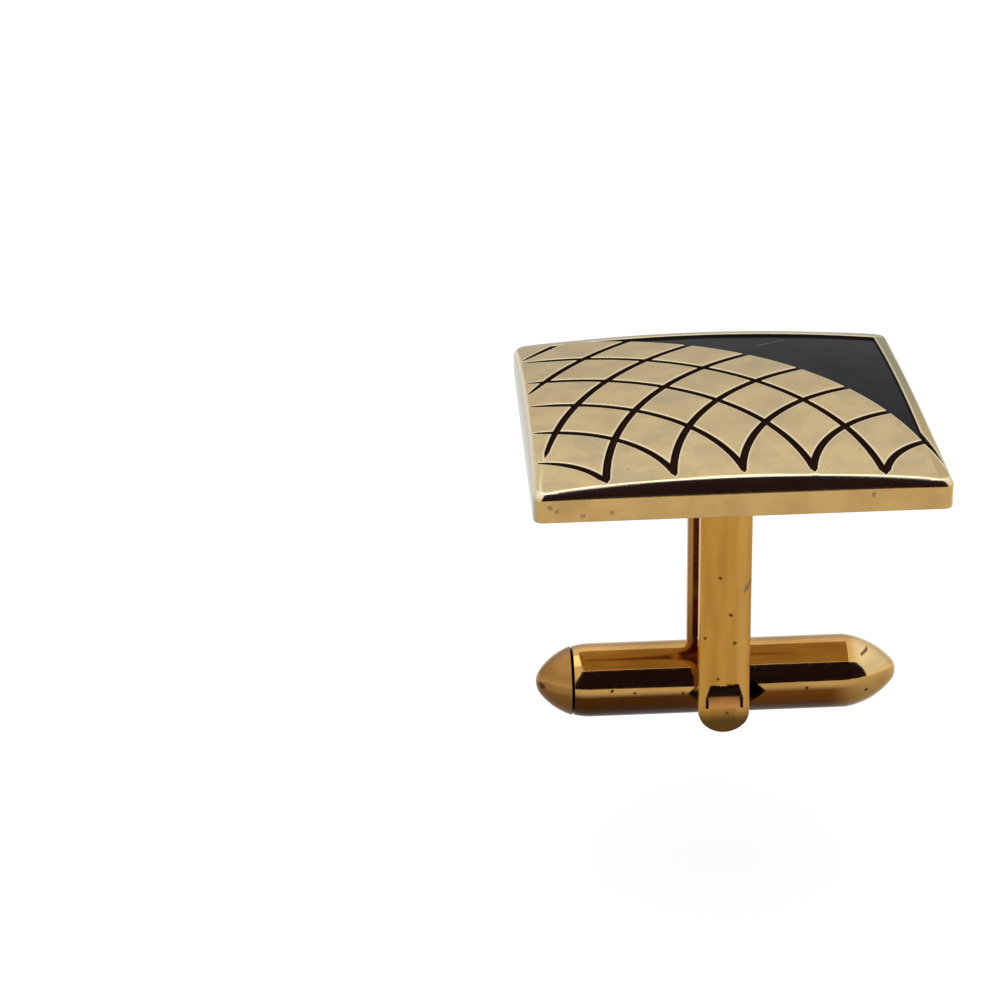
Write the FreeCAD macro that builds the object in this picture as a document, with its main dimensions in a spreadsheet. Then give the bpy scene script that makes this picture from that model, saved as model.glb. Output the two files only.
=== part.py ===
# Square bullet-back cufflink: a crowned face with an enamelled lattice, a U-shaped shank and a toggle
# Millimetres, +Z up. X runs along the closed toggle, Y from front to back, Z along the shank
# The origin is under the middle of the face, level with the underside of the toggle
import FreeCAD
import Part
import Sketcher
import math
import os
import re

Vector = FreeCAD.Vector

# Driving dimensions: name, value, meaning
SIZES = (
    ("face_length", 20.0, "face along X"),
    ("face_depth", 19.44, "face along Y"),
    ("face_corner", 0.35, "radius of the upright corners of the face"),
    ("wall_height", 1.16, "upright side wall of the face"),
    ("bevel_lean", 0.284, "how far the bevel above the wall leans in per millimetre of rise"),
    ("bevel_least", 0.267, "height of the bevel at the corners, where it is lowest"),
    ("crown_radius", 91.6, "radius of the ball whose surface is the crown"),
    ("crown_edge", 0.15, "rounded edge between the bevel and the crown"),
    ("groove_width", 0.27, "lattice groove"),
    ("groove_depth", 0.35, "depth of the grooves and of the corner field"),
    ("enamel_sink", 0.15, "how far the enamel lies below the gold"),
    ("left_centre_out", 0.374, "centre of the arcs struck from the left, beyond the left side of the face"),
    ("left_centre_front", 0.969, "centre of the arcs struck from the left, before the front of the face"),
    ("left_arc_first", 4.2, "radius of the first arc struck from the left"),
    ("right_centre_out", 1.625, "centre of the arcs struck from the right, beyond the right side of the face"),
    ("right_centre_front", 0.371, "centre of the arcs struck from the right, before the front of the face"),
    ("right_arc_first", 4.96, "radius of the first arc struck from the right"),
    ("right_corner_gap", 1.66, "last arc struck from the right to the rear left corner of the grooves"),
    ("right_arc_bow", 0.6, "how far the middle arcs struck from the right lie beyond even spacing"),
    ("field_depth", 7.7, "enamel corner, from the inner corner of its rim to the gold lattice"),
    ("border_gap", 0.294, "how far the lattice ends short of one more arc struck from the left"),
    ("left_margin", 0.36, "gold left of the grooves"),
    ("front_margin", 0.46, "gold in front of the grooves"),
    ("rim_width", 0.8, "gold rim behind and to the right of the enamel corner"),
    ("rim_wall", 0.9, "wall of the face around the recess for the back plate"),
    ("back_thickness", 0.6, "back plate"),
    ("back_clearance", 0.03, "gap around the back plate in its recess"),
    ("shank_reach", 13.67, "back of the face to the pivot"),
    ("leg_width", 2.64, "shank strip"),
    ("strip_thickness", 0.75, "shank strip"),
    ("leg_gap", 5.04, "clear width between the two legs"),
    ("bend_radius", 0.5, "inside radius of the two bends of the shank"),
    ("edge_radius", 0.28, "rounded outer edges of the shank strip"),
    ("tip_reach", 1.6, "pivot to the end of a leg"),
    ("tip_ease", 0.055, "how far the radius of a leg's end exceeds half the leg's width"),
    ("web_width", 0.375, "strip left each side of the lanced window"),
    ("tab_bend", 0.5, "rounded bend at the root of the tab that is bent out of the window"),
    ("tab_bite", 0.78, "how far the tab reaches into the toggle"),
    ("tab_taper", 0.22, "how much narrower the tab and its window are at the far end, each side"),
    ("slit_width", 0.12, "slit each side of the tab"),
    ("slit_drop", 0.075, "how far the slits run below the bend of the tab"),
    ("window_rise", 0.72, "window left above the tab"),
    ("toggle_radius", 1.928, "toggle tube"),
    ("bore_radius", 1.46, "bore of the toggle tube"),
    ("nose_tip", 9.38, "pivot to the tip of the nose"),
    ("nose_length", 2.7, "rounded nose"),
    ("nose_flank", 4.08, "radius of the flank of the nose"),
    ("nose_round", 0.92, "radius of the tip of the nose"),
    ("nose_wall", 1.55, "solid end of the nose beyond the bore"),
    ("cap_tip", 9.545, "pivot to the tip of the end cap"),
    ("cap_length", 1.88, "end cap, tip to seam"),
    ("cap_flank", 3.5, "radius of the flank of the cap"),
    ("cap_round", 1.07, "radius of the tip of the cap"),
    ("seam_radius", 1.81, "outer radius at the seam"),
    ("seam_bevel", 0.08, "chamfer each side of the seam"),
    ("shoulder_length", 0.92, "rounded shoulder of the tube next to the seam"),
    ("shoulder_round", 3.6, "radius of that shoulder"),
    ("spigot_length", 0.8, "spigot of the cap inside the bore"),
    ("spigot_clearance", 0.015, "radial gap around the spigot"),
    ("slot_length", 3.9, "pointed pivot slot in the toggle"),
    ("slot_height", 1.95, "pointed pivot slot in the toggle"),
    ("slot_offset", 0.29, "middle of the slot from the pivot"),
    ("plunger_gap", 0.03, "plunger to the circle that the tab corners sweep"),
    ("plunger_clearance", 0.05, "radial gap around the plunger"),
    ("plunger_head", 0.7, "length of the plunger's head"),
    ("plunger_stem", 1.6, "length of the plunger's stem inside the spring"),
    ("stem_radius", 0.6, "plunger stem"),
    ("spring_wire", 0.3, "wire of the detent spring"),
    ("spring_radius", 1.09, "mean radius of the detent spring"),
    ("spring_lead", 0.78, "length of each end of the spring, from its seat to its first turn"),
)
# Counts
LEFT_ARCS = 5
RIGHT_ARCS = 8
SPRING_TURNS = 4
QUARTERS = 4
# Share of its radius over which the round tip of a toggle end runs along the axis
TIP_SHARE = 0.22
# Room by which cutters and lofts reach past the piece they shape
MARGIN = 1.0
# Sides of the spring's wire
WIRE_SIDES = 8
# Points at which the spring is measured against itself
SPRING_POINTS = 400
# Distance under which two places count as one
NEAR = 1e-4
# The two axes of a sketch, by their numbers
HORIZONTAL_AXIS = -1
VERTICAL_AXIS = -2

doc = FreeCAD.newDocument("cufflink")
sheet = doc.addObject("Spreadsheet::Sheet", "sizes")
for row, (name, value, meaning) in enumerate(SIZES, start=1):
    sheet.set("A%d" % row, name)
    sheet.set("B%d" % row, "%g" % value)
    sheet.set("C%d" % row, meaning)
    sheet.setAlias("B%d" % row, name)
doc.recompute()
NAMES = [name for name, value, meaning in SIZES]


def span(x, y):
    """Length across two sides at a right angle."""
    return "sqrt((%s)^2 + (%s)^2)" % (x, y)


# Levels and lengths shared by several pieces
PIVOT = "toggle_radius"
BACK = "(toggle_radius + shank_reach)"
CROWN_SAG = "(crown_radius - sqrt(crown_radius^2 - face_length^2 / 4 - face_depth^2 / 4))"
CROWN_RISE = "(wall_height + bevel_least + %s)" % CROWN_SAG
BALL_CENTRE = "(%s + %s - crown_radius)" % (BACK, CROWN_RISE)
BEVEL_RISE = "(%s - wall_height + %g)" % (CROWN_RISE, MARGIN)
LEFT_SPAN = span("face_length + left_centre_out - rim_width", "face_depth + left_centre_front - rim_width")
LEFT_POINT = ("-(face_length / 2 + left_centre_out)", "-(face_depth / 2 + left_centre_front)", LEFT_SPAN)
BORDER = "(%s - field_depth)" % LEFT_SPAN
LEFT_STEP = "(%s + border_gap - left_arc_first) / %d" % (BORDER, LEFT_ARCS)
RIGHT_ACROSS = "face_length + right_centre_out - left_margin"
RIGHT_SPAN = span(RIGHT_ACROSS, "face_depth + right_centre_front - rim_width")
RIGHT_POINT = ("face_length / 2 + right_centre_out", "-(face_depth / 2 + right_centre_front)", RIGHT_SPAN)
RIGHT_STEP = "(%s - right_corner_gap - right_arc_first) / %d" % (RIGHT_SPAN, RIGHT_ARCS - 1)
TAB_WIDTH = "(leg_width - 2 * web_width - 2 * slit_width)"
LEG_OUTSIDE = "(leg_gap / 2 + strip_thickness)"
TAB_END = "(toggle_radius - tab_bite)"
TAB_REACH = "(leg_gap / 2 - %s)" % TAB_END
TAB_IN_BORE = "(%s / 2 - tab_taper * (leg_gap / 2 - bore_radius) / %s)" % (TAB_WIDTH, TAB_REACH)
TAB_SWEEP = span(TAB_IN_BORE, "strip_thickness / 2")
PLUNGER_FACE = "(%s + plunger_gap)" % TAB_SWEEP
SEAM = "(cap_tip - cap_length)"


def cell(text):
    """The expression with every size name turned into its cell of the sheet."""
    def address(match):
        word = match.group()
        return "sizes." + word if word in NAMES else word

    return re.sub(r"\b[a-z_]+\b", address, text)


def number(text):
    """The present value of an expression of sizes."""
    return float(sheet.evalExpression(cell(text)))


def bind(item, **links):
    """Ties properties to expressions of sizes; a double underscore stands for a dot."""
    for prop, text in links.items():
        item.setExpression(prop.replace("__", "."), cell(text))


def arc_centre(start, end, radius):
    """Centre of the short arc from start to end; a positive radius turns left, a negative one right."""
    chord = end - start
    side = Vector(-chord.y, chord.x, 0).normalize()
    height = math.sqrt(max(radius * radius - chord.Length ** 2 / 4, 0.0))
    return (start + end) / 2 + side * math.copysign(height, radius)


def draw(sketch, corners):
    """Draws a closed outline. A corner is x, y and, where an arc follows it, that arc's signed radius."""
    points = [Vector(number(corner[0]), number(corner[1]), 0) for corner in corners]
    count = len(points)
    ends = []
    for i, corner in enumerate(corners):
        start = points[i]
        end = points[(i + 1) % count]
        if len(corner) == 2:
            edge = sketch.addGeometry(Part.LineSegment(start, end), False)
            ends.append((edge, 1, 2))
            continue
        radius = number(corner[2])
        centre = arc_centre(start, end, radius)
        first, last = (start, end) if radius > 0 else (end, start)
        angles = [math.atan2(p.y - centre.y, p.x - centre.x) for p in (first, last)]
        circle = Part.Circle(centre, Vector(0, 0, 1), abs(radius))
        edge = sketch.addGeometry(Part.ArcOfCircle(circle, angles[0], angles[1]), False)
        ends.append((edge, 1, 2) if radius > 0 else (edge, 2, 1))
        size = sketch.addConstraint(Sketcher.Constraint("Radius", edge, abs(radius)))
        sketch.setExpression("Constraints[%d]" % size, cell("abs(%s)" % corner[2]))
    for i, corner in enumerate(corners):
        edge, first, last = ends[i]
        following = ends[(i + 1) % count]
        sketch.addConstraint(Sketcher.Constraint("Coincident", edge, last, following[0], following[1]))
        across = ("DistanceX", VERTICAL_AXIS, points[i].x, corner[0])
        upright = ("DistanceY", HORIZONTAL_AXIS, points[i].y, corner[1])
        for kind, axis, place, text in (across, upright):
            if text == "0":
                sketch.addConstraint(Sketcher.Constraint("PointOnObject", edge, first, axis))
                continue
            item = sketch.addConstraint(Sketcher.Constraint(kind, HORIZONTAL_AXIS, 1, edge, first, place))
            sketch.setExpression("Constraints[%d]" % item, cell(text))


def body_sketch(body, name, role, corners, level="0"):
    """A sketch on one of the body's own origin planes, moved along its normal to a level."""
    plane = [item for item in body.Origin.OriginFeatures if item.Role == role][0]
    sketch = body.newObject("Sketcher::SketchObject", name)
    sketch.AttachmentSupport = (plane, "")
    sketch.MapMode = "FlatFace"
    if level != "0":
        bind(sketch, AttachmentOffset__Base__z=level)
    draw(sketch, corners)
    return sketch


def rounded_rectangle(half_x, half_y, radius):
    """Corners of a rectangle about the origin, with rounded corners."""
    near_x = "(%s) - %s" % (half_x, radius)
    near_y = "(%s) - %s" % (half_y, radius)
    return [
        ("-(%s)" % near_x, "-(%s)" % half_y),
        (near_x, "-(%s)" % half_y, radius),
        (half_x, "-(%s)" % near_y),
        (half_x, near_y, radius),
        (near_x, half_y),
        ("-(%s)" % near_x, half_y, radius),
        ("-(%s)" % half_x, near_y),
        ("-(%s)" % half_x, "-(%s)" % near_y, radius),
    ]


def new_body(label, level=None):
    """A body named after its piece, raised to a level where one is given."""
    body = doc.addObject("PartDesign::Body", label)
    body.Label = label
    if level:
        bind(body, Placement__Base__z=level)
    return body


def pad(body, name, sketch, length, **settings):
    """Adds the sketch's outline, drawn out over a length."""
    feature = body.newObject("PartDesign::Pad", name)
    feature.Profile = sketch
    bind(feature, Length=length)
    for prop, value in settings.items():
        setattr(feature, prop, value)
    return feature


def pocket(body, name, sketch, **settings):
    """Cuts the sketch's outline out of the body."""
    feature = body.newObject("PartDesign::Pocket", name)
    feature.Profile = sketch
    for prop, value in settings.items():
        setattr(feature, prop, value)
    return feature


def turned(body, name, corners):
    """Turns an outline about the X axis of the body."""
    sketch = body_sketch(body, name + "_outline", "XZ_Plane", corners)
    feature = body.newObject("PartDesign::Revolution", name)
    feature.Profile = sketch
    feature.ReferenceAxis = (sketch, ["H_Axis"])
    feature.Angle = 360
    return feature


def find_edges(shape, test):
    """Numbers of the edges of a shape whose middle point passes a test."""
    found = []
    for i, edge in enumerate(shape.Edges, start=1):
        middle = edge.valueAt((edge.FirstParameter + edge.LastParameter) / 2)
        if test(middle):
            found.append(i)
    return found


def rounded(body, name, base, test, radius):
    """Rounds the edges of a feature that pass a test."""
    doc.recompute()
    feature = body.newObject("PartDesign::Fillet", name)
    feature.Base = (base, ["Edge%d" % i for i in find_edges(base.Shape, test)])
    bind(feature, Radius=radius)
    return feature


# Face: side wall, leaning bevel and the recess in its back
def make_face_body():
    body = new_body("face_blank")
    half_x = "face_length / 2"
    half_y = "face_depth / 2"
    outline = rounded_rectangle(half_x, half_y, "face_corner")
    wall = body_sketch(body, "wall_outline", "XY_Plane", outline, BACK)
    pad(body, "wall", wall, "wall_height")
    low = body_sketch(body, "bevel_low", "XY_Plane", outline, BACK + " + wall_height")
    inset = " - bevel_lean * " + BEVEL_RISE
    inner = rounded_rectangle(half_x + inset, half_y + inset, "face_corner")
    high = body_sketch(body, "bevel_high", "XY_Plane", inner, BACK + " + wall_height + " + BEVEL_RISE)
    bevel = body.newObject("PartDesign::AdditiveLoft", "bevel")
    bevel.Profile = low
    bevel.Sections = [high]
    bevel.Ruled = True
    opening = rounded_rectangle(half_x + " - rim_wall", half_y + " - rim_wall", "face_corner")
    recess = body_sketch(body, "recess_outline", "XY_Plane", opening, BACK)
    feature = pocket(body, "recess", recess, Reversed=True)
    bind(feature, Length="back_thickness")
    return body


# Ball whose surface is the crown, or lies a depth below it; its poles point along X, clear of the face
def make_ball(name, depth):
    ball = doc.addObject("Part::Sphere", name)
    ball.Placement.Rotation = FreeCAD.Rotation(Vector(0, 1, 0), 90)
    bind(ball, Radius="crown_radius - " + depth, Placement__Base__z=BALL_CENTRE)
    return ball


def crown_level(x, y):
    """Height of the crown over a point of the face."""
    return number(BALL_CENTRE) + math.sqrt(number("crown_radius") ** 2 - x * x - y * y)


# Cylinder that meets the crown in a circle struck from a point; its axis runs to the ball's centre
def make_struck(name, point, radius):
    x, y, farthest = point
    level = "sqrt(crown_radius^2 - (%s)^2 - (%s)^2)" % (x, y)
    start = "(sqrt(crown_radius^2 - %s^2) - groove_depth - %g)" % (farthest, MARGIN)
    share = "(%s / crown_radius)" % start
    foot = "vector((%s) * %s; (%s) * %s; %s + %s * %s)" % (x, share, y, share, BALL_CENTRE, level, share)
    turn = "rotation(vector(-(%s); %s; 0); acos(%s / crown_radius))" % (y, x, level)
    cylinder = doc.addObject("Part::Cylinder", name)
    bind(cylinder, Placement="placement(%s; %s)" % (foot, turn), Radius=radius)
    bind(cylinder, Height="crown_radius + %g - %s" % (MARGIN, start))
    return cylinder


def make_cut(name, base, tool):
    item = doc.addObject("Part::Cut", name)
    item.Base = base
    item.Tool = tool
    return item


def make_common(name, base, tool):
    item = doc.addObject("Part::Common", name)
    item.Base = base
    item.Tool = tool
    return item


# Lattice: bands of even width struck from a point near each front corner, and the field left behind them
def make_lattice():
    left = ("left", LEFT_ARCS, LEFT_POINT, LEFT_STEP, "0")
    right = ("right", RIGHT_ARCS, RIGHT_POINT, RIGHT_STEP, "right_arc_bow")
    bands = []
    for side, count, point, step, bow_out in (left, right):
        for i in range(count):
            share = 4 * i * (count - 1 - i) / (count - 1) ** 2
            radius = "%s_arc_first + %d * %s + %g * %s" % (side, i, step, share, bow_out)
            name = "%s_arc_%d" % (side, i + 1)
            outer = make_struck(name + "_outer", point, radius + " + groove_width / 2")
            inner = make_struck(name + "_inner", point, radius + " - groove_width / 2")
            bands.append(make_cut(name, outer, inner))
    field = doc.addObject("Part::Box", "lattice_field")
    bind(field, Length="face_length - left_margin - rim_width", Width="face_depth - front_margin - rim_width")
    bind(field, Height="%s + %g" % (CROWN_RISE, MARGIN))
    bind(field, Placement__Base__x="left_margin - face_length / 2")
    bind(field, Placement__Base__y="front_margin - face_depth / 2", Placement__Base__z=BACK)
    corner = make_cut("corner_field", field, make_struck("field_edge", LEFT_POINT, BORDER))
    pattern = doc.addObject("Part::MultiFuse", "lattice_pattern")
    pattern.Shapes = bands + [corner]
    return make_common("framed_pattern", pattern, field), field


# Face plate with its relief, and the enamel that fills it
def make_face():
    crowned = make_common("crowned_blank", make_face_body(), make_ball("crown", "0"))
    doc.recompute()

    def around_crown(middle):
        return abs(middle.z - crown_level(middle.x, middle.y)) < NEAR

    blank = doc.addObject("Part::Fillet", "softened_blank")
    blank.Base = crowned
    radius = number("crown_edge")
    blank.Edges = [(index, radius, radius) for index in find_edges(crowned.Shape, around_crown)]
    lattice, field = make_lattice()
    floor = make_ball("groove_floor", "groove_depth")
    make_cut("face_plate", blank, make_cut("lattice_space", lattice, floor))
    filled = make_common("filled_field", field, make_ball("enamel_top", "enamel_sink"))
    layer = make_cut("enamel_layer", filled, floor)
    make_common("enamel_inlay", lattice, layer)


# Back plate, let into the recess of the face
def make_back_plate():
    body = new_body("back_plate")
    half_x = "face_length / 2 - rim_wall - back_clearance"
    half_y = "face_depth / 2 - rim_wall - back_clearance"
    outline = rounded_rectangle(half_x, half_y, "(face_corner - back_clearance)")
    sketch = body_sketch(body, "plate_outline", "XY_Plane", outline, BACK)
    pad(body, "plate", sketch, "back_thickness")


# Shank: one strip bent to a U, with a lanced and bent-in tab near the end of each leg
def make_shank():
    body = new_body("shank")
    inside = "leg_gap / 2"
    bend_out = "(bend_radius + strip_thickness)"
    low = PIVOT + " - tip_reach"
    top = BACK
    under = BACK + " - strip_thickness"
    strip = [
        ("-" + LEG_OUTSIDE, low),
        ("-%s" % inside, low),
        ("-%s" % inside, under + " - bend_radius", "-bend_radius"),
        ("-%s + bend_radius" % inside, under),
        ("%s - bend_radius" % inside, under, "-bend_radius"),
        (inside, under + " - bend_radius"),
        (inside, low),
        (LEG_OUTSIDE, low),
        (LEG_OUTSIDE, top + " - " + bend_out, bend_out),
        (LEG_OUTSIDE + " - " + bend_out, top),
        ("-%s + %s" % (LEG_OUTSIDE, bend_out), top, bend_out),
        ("-" + LEG_OUTSIDE, top + " - " + bend_out),
    ]
    section = body_sketch(body, "strip_section", "YZ_Plane", strip)
    pad(body, "strip", section, "leg_width", Midplane=True)
    half = "leg_width / 2"
    tip_radius = "(leg_width / 2 + tip_ease)"
    tip_centre = PIVOT + " - tip_reach + " + tip_radius
    shoulder = tip_centre + " - sqrt(tip_ease * (leg_width + tip_ease))"
    wide = "(leg_width / 2 + %g)" % MARGIN
    floor = PIVOT + " - tip_reach - %g" % MARGIN
    end = [
        ("-" + wide, floor),
        (wide, floor),
        (wide, shoulder),
        (half, shoulder, "-" + tip_radius),
        ("-" + half, shoulder),
        ("-" + wide, shoulder),
    ]
    tip = body_sketch(body, "tip_outline", "XZ_Plane", end)
    pocket(body, "leg_ends", tip, Type="ThroughAll", Midplane=True)
    tab_half = TAB_WIDTH + " / 2"
    slit = "(leg_width / 2 - web_width)"
    tab_top = PIVOT + " + strip_thickness / 2"
    slit_end = tab_top + " - tab_bend - slit_drop"
    window = [
        ("-" + slit, slit_end),
        ("-" + tab_half, slit_end),
        ("-" + tab_half, tab_top),
        (tab_half, tab_top),
        (tab_half, slit_end),
        (slit, slit_end),
        (slit + " - tab_taper", tab_top + " + window_rise"),
        ("-(%s - tab_taper)" % slit, tab_top + " + window_rise"),
    ]
    opening = body_sketch(body, "window_outline", "XZ_Plane", window)
    pocket(body, "windows", opening, Type="ThroughAll", Midplane=True)
    tab_tip = "(%s - tab_taper)" % tab_half
    for side, name in ((-1, "front"), (1, "rear")):
        root = "%d * leg_gap / 2" % side
        end = "%d * %s" % (side, TAB_END)
        tongue = [("-" + tab_half, root), (tab_half, root), (tab_tip, end), ("-" + tab_tip, end)]
        outline = body_sketch(body, name + "_tab_outline", "XY_Plane", tongue, PIVOT)
        pad(body, name + "_tab", outline, "strip_thickness", Midplane=True)
    top_level = number(tab_top)
    outer = number(LEG_OUTSIDE)
    half_width = number(half)
    leg_low = number(PIVOT)
    leg_high = number(BACK + " - " + bend_out)

    def outside(middle):
        return abs(abs(middle.y) - outer) < NEAR

    def at_tab_root(middle):
        return outside(middle) and abs(middle.z - top_level) < NEAR and abs(middle.x) < NEAR

    def along_leg(middle):
        return outside(middle) and abs(abs(middle.x) - half_width) < NEAR and leg_low < middle.z < leg_high

    bends = rounded(body, "tab_bends", body.Tip, at_tab_root, "tab_bend")
    rounded(body, "strip_edges", bends, along_leg, "edge_radius")


# Toggle tube: a drawn nose at one end, open at the other, with a pointed slot through both sides for the tabs
def make_toggle_tube():
    body = new_body("toggle_tube", PIVOT)
    nose_start = "nose_tip - nose_length"
    join_x, join_r = ogive_join("nose")
    profile = [
        ("-%s" % SEAM, "bore_radius"),
        ("nose_tip - nose_wall", "bore_radius"),
        ("nose_tip - nose_wall", "0"),
        ("nose_tip", "0", "nose_round"),
        (join_x, join_r, "nose_flank"),
        (nose_start, "toggle_radius"),
        ("-%s + shoulder_length" % SEAM, "toggle_radius", "shoulder_round"),
        ("-%s + seam_bevel" % SEAM, "seam_radius"),
        ("-%s" % SEAM, "seam_radius - seam_bevel"),
    ]
    turned(body, "tube", profile)
    half = "slot_length / 2"
    bulge = "(slot_length * slot_length / 4 + slot_height * slot_height / 4) / slot_height"
    lens = [("slot_offset + " + half, "0", bulge), ("slot_offset - " + half, "0", bulge)]
    slot = body_sketch(body, "slot_outline", "XZ_Plane", lens)
    pocket(body, "pivot_slot", slot, Type="ThroughAll", Midplane=True)


def ogive_join(end):
    """Where the round tip of an end meets its flank, as expressions of its own sizes."""
    run = "%s_round * %g" % (end, TIP_SHARE)
    join_x = "%s_tip - %s" % (end, run)
    join_r = "sqrt(2 * %s_round * %s - (%s) * (%s))" % (end, run, run, run)
    return join_x, join_r


# End cap, closing the open end of the tube with a spigot
def make_end_cap():
    body = new_body("end_cap", PIVOT)
    join_x, join_r = ogive_join("cap")
    spigot = "bore_radius - spigot_clearance"
    profile = [
        ("-cap_tip", "0"),
        ("-%s + spigot_length" % SEAM, "0"),
        ("-%s + spigot_length" % SEAM, spigot),
        ("-%s" % SEAM, spigot),
        ("-%s" % SEAM, "seam_radius - seam_bevel"),
        ("-%s - seam_bevel" % SEAM, "seam_radius", "cap_flank"),
        ("-(%s)" % join_x, join_r, "cap_round"),
    ]
    turned(body, "cap", profile)


# Detent plunger: its flat head bears on the tabs, its stem guides the spring
def make_plunger():
    body = new_body("plunger", PIVOT)
    head = "bore_radius - plunger_clearance"
    back = "-%s - plunger_head" % PLUNGER_FACE
    profile = [
        ("-" + PLUNGER_FACE, "0"),
        ("-" + PLUNGER_FACE, head),
        (back, head),
        (back, "stem_radius"),
        (back + " - plunger_stem", "stem_radius"),
        (back + " - plunger_stem", "0"),
    ]
    turned(body, "spool", profile)


def biarc(start, start_way, end, end_way):
    """Two arcs that leave start along one direction and reach end along another."""
    chord = end - start
    both = start_way + end_way
    turn = 2 * (1 - start_way.dot(end_way))
    along = chord.dot(both)
    reach = (-along + math.sqrt(along * along + turn * chord.dot(chord))) / turn
    first = start + start_way * reach
    last = end - end_way * reach
    middle = (first + last) / 2
    return [bow(start, first, middle), bow(middle, last, end)]


def bow(start, corner, end):
    """The arc from start to end whose end tangents meet at a corner equally far from both."""
    chord = (start + end) / 2
    height = (chord - corner).Length
    side = (corner - start).Length
    half = (end - start).Length / 2
    radius = half * side / height
    centre = corner + (chord - corner) * (side * side / (height * height))
    middle = centre + (corner - centre).normalize() * radius
    return Part.Arc(start, middle, end).toShape()


# Detent spring between the plunger and the cap: open coils, ends turned square to their seats
def make_spring():
    wire = number("spring_wire")
    radius = number("spring_radius")
    start = -number(PLUNGER_FACE + " + plunger_head")
    finish = -number(SEAM + " - spigot_length")
    lead = number("spring_lead")
    first = start - lead
    last = finish + lead
    rise = (last - first) / (SPRING_TURNS * QUARTERS)
    step = 2 * math.pi / QUARTERS

    def place(i):
        return Vector(first + rise * i, radius * math.cos(step * i), radius * math.sin(step * i))

    def way(i):
        arc = radius * step
        return Vector(rise, -arc * math.sin(step * i), arc * math.cos(step * i)).normalize()

    along = Vector(-1, 0, 0)
    count = SPRING_TURNS * QUARTERS
    lead_in = Vector(start, place(-1).y, place(-1).z)
    lead_out = Vector(finish, place(count + 1).y, place(count + 1).z)
    edges = [Part.LineSegment(lead_in, lead_in + along * wire).toShape()]
    edges += biarc(lead_in + along * wire, along, place(0), way(0))
    for i in range(count):
        edges += biarc(place(i), way(i), place(i + 1), way(i + 1))
    edges += biarc(place(count), way(count), lead_out - along * wire, along)
    edges.append(Part.LineSegment(lead_out - along * wire, lead_out).toShape())
    path = Part.Wire(edges)
    turns = [2 * math.pi * i / WIRE_SIDES for i in range(WIRE_SIDES + 1)]
    ring = Part.makePolygon([lead_in + Vector(0, math.cos(a), math.sin(a)) * (wire / 2) for a in turns])
    shell = Part.BRepOffsetAPI.MakePipeShell(path)
    shell.add(ring)
    shell.build()
    shell.makeSolid()
    feature = doc.addObject("Part::Feature", "detent_spring")
    feature.Shape = shell.shape()
    feature.Placement.Base.z = number(PIVOT)
    points = path.discretize(Number=SPRING_POINTS)
    half_turn = int(math.pi * radius / path.Length * SPRING_POINTS)
    gaps = [(a - b).Length for i, a in enumerate(points) for b in points[i + half_turn:]]
    print("spring: least gap to itself %.3f mm" % (min(gaps) - wire))
    section = WIRE_SIDES * math.sin(2 * math.pi / WIRE_SIDES) * wire * wire / 8
    expected = section * path.Length
    print("spring: volume %.4f, section times length %.4f" % (feature.Shape.Volume, expected))


make_face()
make_back_plate()
make_shank()
make_toggle_tube()
make_end_cap()
make_plunger()
make_spring()
doc.recompute()

PIECES = (
    "face_plate", "enamel_inlay", "back_plate", "shank",
    "toggle_tube", "end_cap", "plunger", "detent_spring",
)
for item in doc.Objects:
    if "Invalid" in item.State or "Error" in item.State:
        raise RuntimeError("%s failed: %s" % (item.Label, item.State))
os.makedirs("parts", exist_ok=True)
for label in PIECES:
    shape = doc.getObjectsByLabel(label)[0].Shape
    if shape.isNull() or not shape.isValid():
        raise RuntimeError("%s has no valid shape" % label)
    shape.exportStep("parts/%s.step" % label)
    box = shape.BoundBox
    print("%-14s solids %d volume %.3f faces %d box %.3f..%.3f %.3f..%.3f %.3f..%.3f" % (
        label, len(shape.Solids), shape.Volume, len(shape.Faces),
        box.XMin, box.XMax, box.YMin, box.YMax, box.ZMin, box.ZMax))
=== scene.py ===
# Looks of the bullet-back cufflink: fine relief of the face, worn gilt, black enamel and a small studio
# Metres in Blender; the sizes below are in millimetres, in the frame of the part
import math

import bpy
import numpy as np
from mathutils import Matrix, Vector

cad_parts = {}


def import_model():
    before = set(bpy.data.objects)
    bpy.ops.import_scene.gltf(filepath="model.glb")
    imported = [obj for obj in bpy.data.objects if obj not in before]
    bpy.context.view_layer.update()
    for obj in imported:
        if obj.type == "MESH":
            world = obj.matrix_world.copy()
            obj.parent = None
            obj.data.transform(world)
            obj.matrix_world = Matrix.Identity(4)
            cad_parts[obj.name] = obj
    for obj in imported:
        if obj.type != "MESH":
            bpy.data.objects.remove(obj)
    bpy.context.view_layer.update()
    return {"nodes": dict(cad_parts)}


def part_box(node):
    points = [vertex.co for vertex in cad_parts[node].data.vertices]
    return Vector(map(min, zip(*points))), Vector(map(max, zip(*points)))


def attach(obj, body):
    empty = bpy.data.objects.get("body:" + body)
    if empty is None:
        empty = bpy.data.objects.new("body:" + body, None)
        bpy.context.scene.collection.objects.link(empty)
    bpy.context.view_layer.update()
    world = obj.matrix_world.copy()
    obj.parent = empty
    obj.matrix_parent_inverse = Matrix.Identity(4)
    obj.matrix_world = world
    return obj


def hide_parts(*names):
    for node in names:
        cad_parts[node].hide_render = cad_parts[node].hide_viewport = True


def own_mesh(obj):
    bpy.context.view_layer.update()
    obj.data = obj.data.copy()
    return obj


MM = 0.001
# Keeps a division from meeting zero
TINY = 1e-9

# Camera of the photograph: place, directions to the right, down and ahead, and focal length
EYE = Vector((-15.655, -127.525, 70.752)) * MM
RIGHT = Vector((0.99884, -0.04382, -0.0198))
DOWN = Vector((-0.0362, -0.41429, -0.90943))
AHEAD = Vector((0.03164, 0.90909, -0.41539))
LENS = 99.3
SENSOR = 36.0
NEAREST = 1.0

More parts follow.
